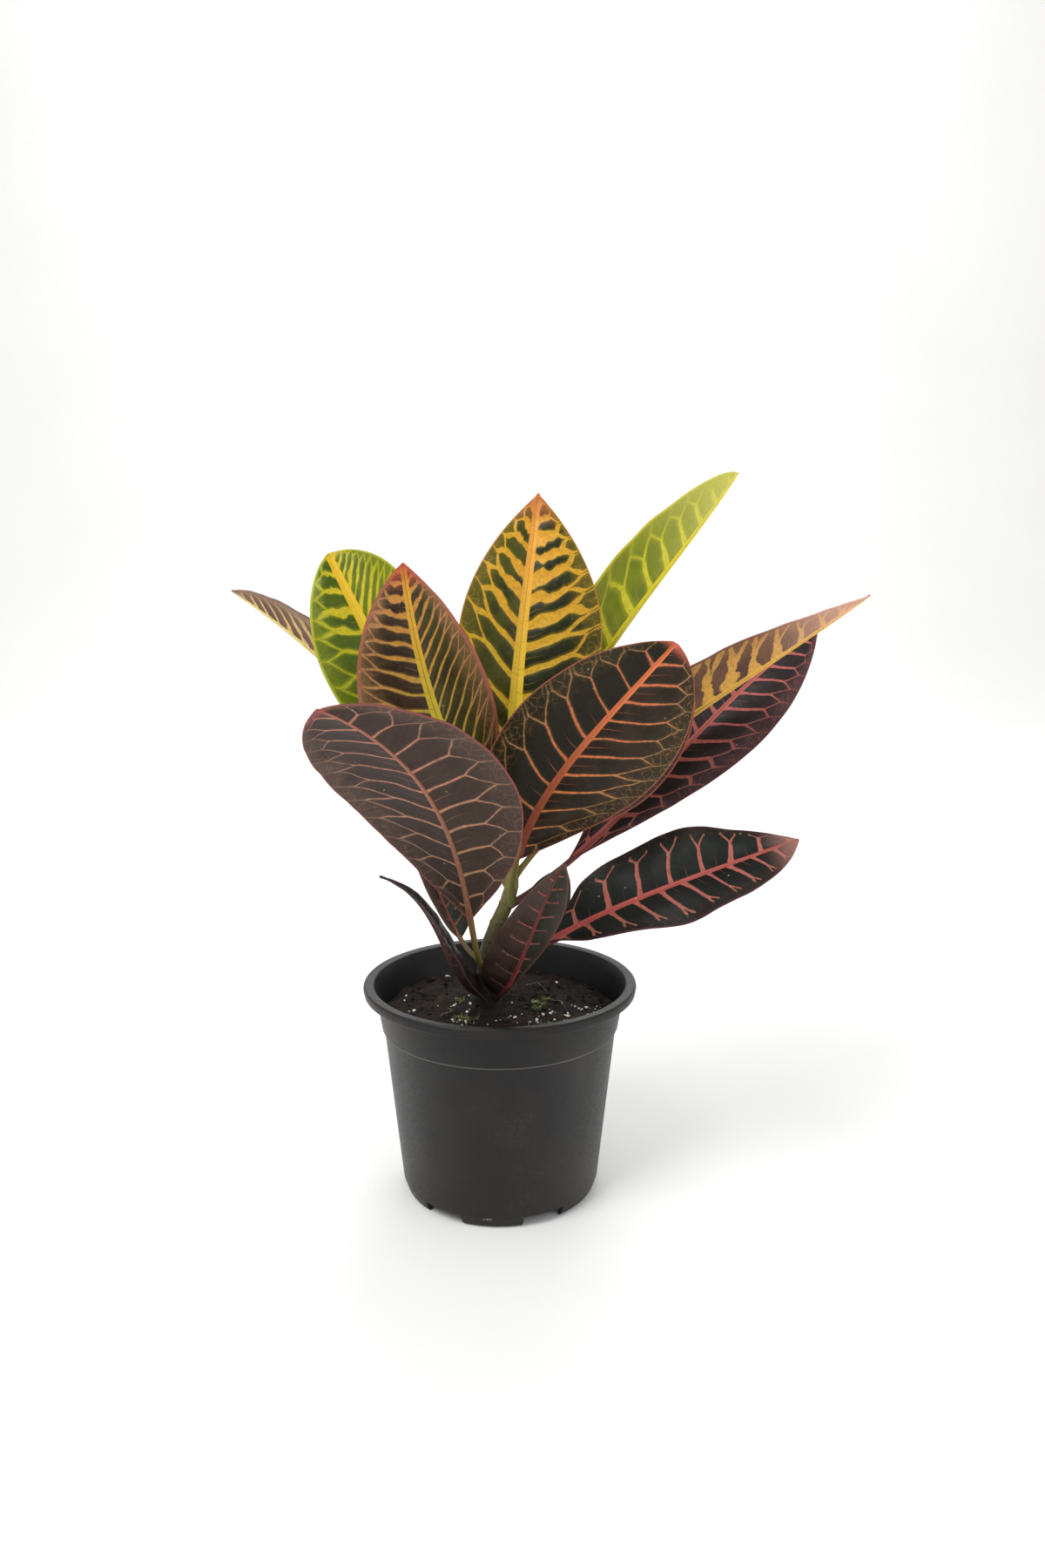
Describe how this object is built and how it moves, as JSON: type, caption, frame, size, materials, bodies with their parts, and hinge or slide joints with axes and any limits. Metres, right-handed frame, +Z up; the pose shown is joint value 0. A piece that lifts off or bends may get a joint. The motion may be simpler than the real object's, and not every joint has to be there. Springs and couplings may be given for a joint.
{
  "type": "potted croton",
  "caption": "Croton houseplant with large veined leaves on one short stem, standing in peat soil in a round black nursery pot",
  "frame": {"origin": "the pot's axis, at the height of the surface that the pot stands on", "axes": "+Z up along the pot's axis, -Y towards the front of the plant, +X to the right seen from the front"},
  "size_m": [0.3045, 0.1995, 0.3465],
  "materials": {
    "pot": "moulded black plastic, satin, lightly scuffed",
    "soil": "moist peat with pale mineral grains",
    "stem": "smooth green-brown bark with leaf scars",
    "leaf_front_left": "matt maroon underside with thin orange-pink veins",
    "leaf_front_right": "dark green-brown with an orange midrib and orange veins",
    "leaf_right_hidden": "dark brown with orange veins",
    "leaf_left_upright": "brown and dark green with a yellow midrib and orange margins",
    "leaf_left_back": "bright green with yellow midrib and veins",
    "leaf_left_far": "cream-yellow with brown patches",
    "leaf_crown": "dark green with broad yellow-orange veins",
    "leaf_right_high": "yellow-green with a yellow midrib",
    "leaf_right_far": "brown patches between yellow veins, pinkish tip",
    "leaf_right_dark": "near-black with pink-red veins",
    "leaf_right_low": "black-green with a red midrib and pink veins",
    "leaf_low_front": "brown and dark green with a pink midrib",
    "leaf_low_left": "near-black brown, curled",
    "leaf_low_right": "dark green",
    "leaf_low_back": "brown and dark green with a thin reddish midrib"
  },
  "bodies": {
    "root": {"pot": "pot", "soil": "soil", "stem": "stem", "leaf_front_left": "leaf_front_left", "leaf_front_right": "leaf_front_right", "leaf_right_hidden": "leaf_right_hidden", "leaf_left_upright": "leaf_left_upright", "leaf_left_back": "leaf_left_back", "leaf_left_far": "leaf_left_far", "leaf_crown": "leaf_crown", "leaf_right_high": "leaf_right_high", "leaf_right_far": "leaf_right_far", "leaf_right_dark": "leaf_right_dark", "leaf_right_low": "leaf_right_low", "leaf_low_front": "leaf_low_front", "leaf_low_left": "leaf_low_left", "leaf_low_right": "leaf_low_right", "leaf_low_back": "leaf_low_back"}
  },
  "joints": []
}
